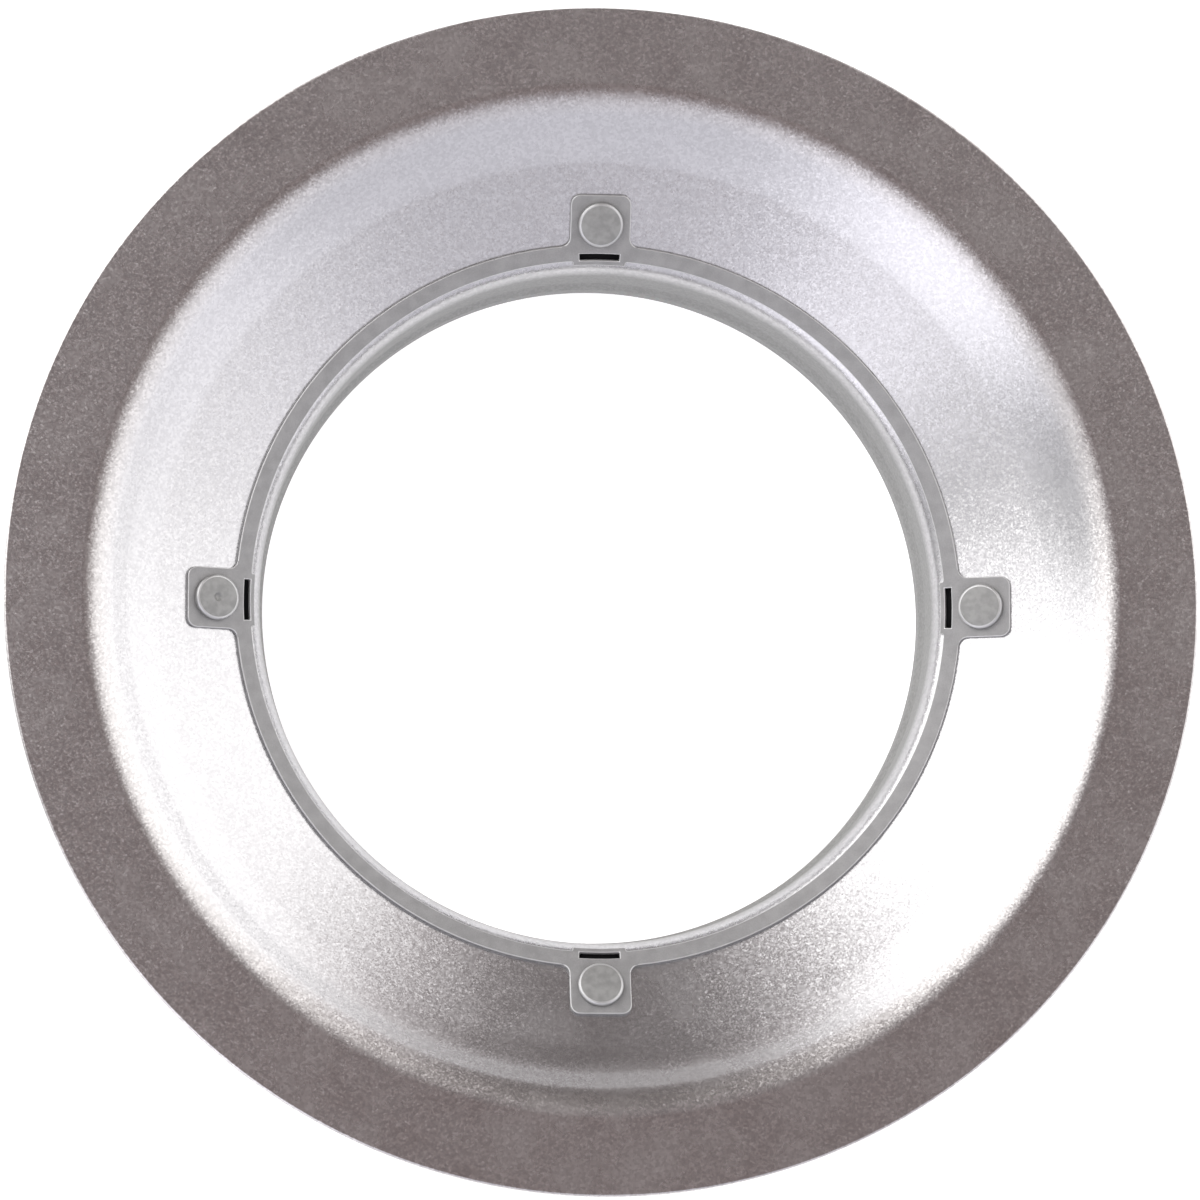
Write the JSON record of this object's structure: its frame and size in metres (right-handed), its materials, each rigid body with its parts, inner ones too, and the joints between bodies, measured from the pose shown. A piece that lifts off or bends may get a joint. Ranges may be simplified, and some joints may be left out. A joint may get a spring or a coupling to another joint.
{
  "type": "softbox adapter ring",
  "caption": "Dished sheet-metal adapter ring with a flat outer flange, a short open neck and a thin riveted lock ring with ears and catch slots.",
  "frame": {"origin": "centre of the neck's rear edge, which is the bottom centre of the whole ring", "axes": "+Z along the ring's axis, towards the front face; the ears lie on +X, +Y, -X and -Y"},
  "size_m": [0.144, 0.144, 0.021],
  "materials": {
    "satin_silver": "satin silver with a fine sparkle",
    "dull_zinc": "dull plated sheet",
    "rivet_metal": "dull plated, hammered heads"
  },
  "bodies": {
    "root": {"dish": "satin_silver", "lock_ring": "dull_zinc", "rivet_1": "rivet_metal", "rivet_2": "rivet_metal", "rivet_3": "rivet_metal", "rivet_4": "rivet_metal"}
  },
  "joints": []
}
